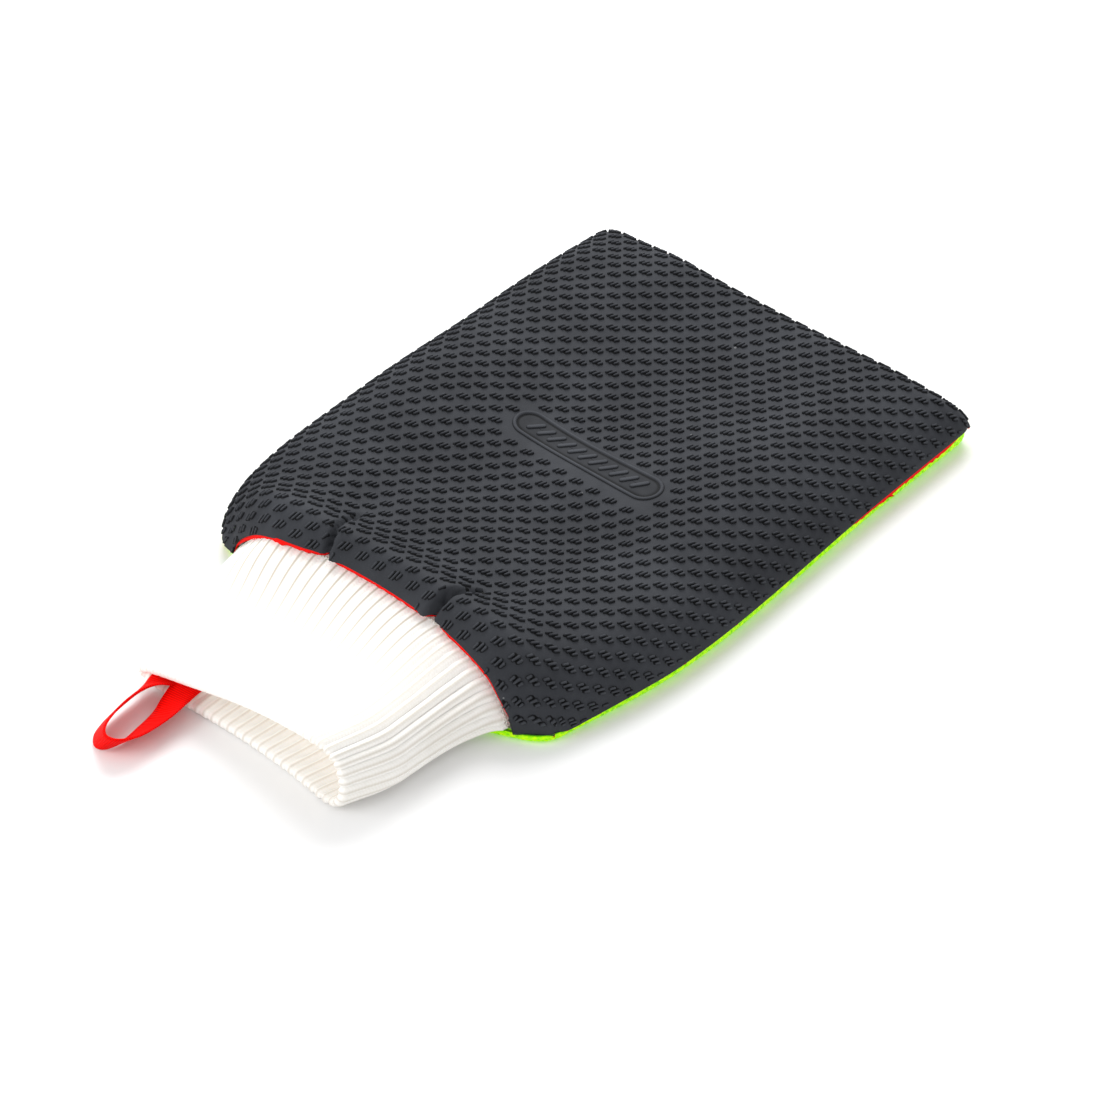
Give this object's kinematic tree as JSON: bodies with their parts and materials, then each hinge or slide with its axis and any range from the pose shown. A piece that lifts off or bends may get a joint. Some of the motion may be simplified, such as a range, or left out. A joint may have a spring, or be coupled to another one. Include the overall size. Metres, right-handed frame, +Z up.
{
  "type": "wash mitt",
  "caption": "Padded wash mitt with a rubber clay face, a green mesh back, a rib-knit cuff and a ribbon hang loop, lying on its mesh face.",
  "frame": {"origin": "on the surface that the mitt lies on, under the middle of its whole length and width", "axes": "+Y from the hang loop and cuff to the fingertips, +X across the mitt to the side away from the hang loop, +Z up from the mesh face to the rubber face"},
  "size_m": [0.165, 0.298, 0.03],
  "materials": {
    "clay_rubber": "matte moulded rubber with a field of small raised bars",
    "red_cloth": "short microfibre knit",
    "foam": "open-cell foam sheet",
    "lining": "smooth woven polyester",
    "green_mesh": "open knitted spacer mesh",
    "white_knit": "cotton rib knit, slightly fuzzy",
    "red_ribbon": "grosgrain ribbon with fine cross ribs",
    "dark_thread": "spun polyester thread",
    "white_thread": "spun polyester thread",
    "red_thread": "spun polyester thread"
  },
  "bodies": {
    "mitt": {"rubber_skin": "clay_rubber", "backing_cloth": "red_cloth", "front_foam": "foam", "front_lining": "lining", "back_mesh": "green_mesh", "back_foam": "foam", "back_lining": "lining", "edge_stitch": "dark_thread", "mouth_stitch": "white_thread", "pleat_tack_left": "dark_thread", "pleat_tack_right": "dark_thread", "rib_cuff": "white_knit", "cuff_closing_stitch": "white_thread", "loop_ends": "red_ribbon", "loop_tack": "red_thread"},
    "loop": {"hang_loop": "red_ribbon"}
  },
  "joints": [
    {"name": "hang_loop_swing", "type": "hinge", "parent": "mitt", "child": "loop", "pos_m": [-0.027, -0.114, 0.004], "axis": [-1, 0, 0], "range_deg": [0, 60]}
  ]
}
